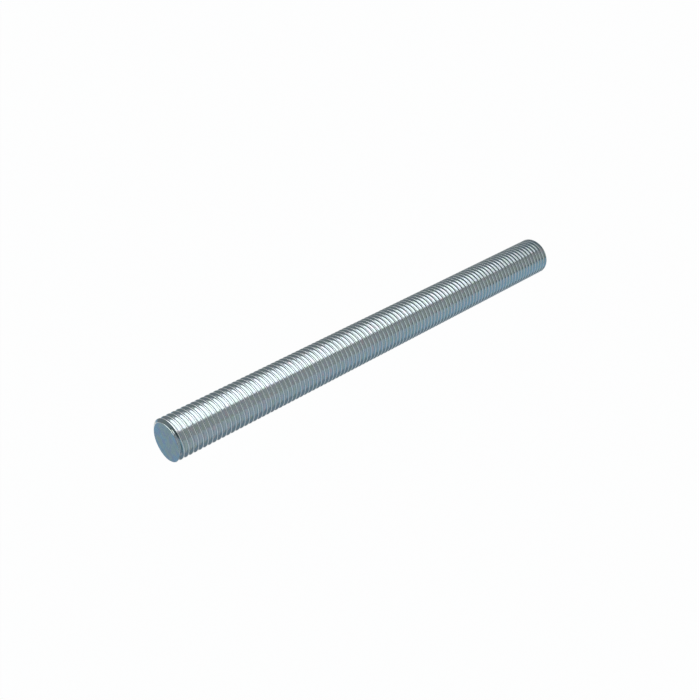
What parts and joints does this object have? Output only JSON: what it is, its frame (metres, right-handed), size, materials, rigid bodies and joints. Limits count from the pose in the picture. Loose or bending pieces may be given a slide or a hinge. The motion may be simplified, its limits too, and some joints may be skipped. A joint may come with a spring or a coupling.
{
  "type": "threaded rod",
  "caption": "Straight steel rod with one continuous right-hand thread from end to end and square-cut ends, for joining and hanging with nuts.",
  "frame": {"origin": "centre of the lower cut end, on the surface that the rod stands on", "axes": "+Z along the rod's axis, from the lower cut end to the upper one"},
  "size_m": [0.016, 0.016, 0.2],
  "materials": {
    "plated_steel": "bright zinc plating with a faint blue-grey cast"
  },
  "bodies": {
    "root": {"threaded_rod": "plated_steel"}
  },
  "joints": []
}
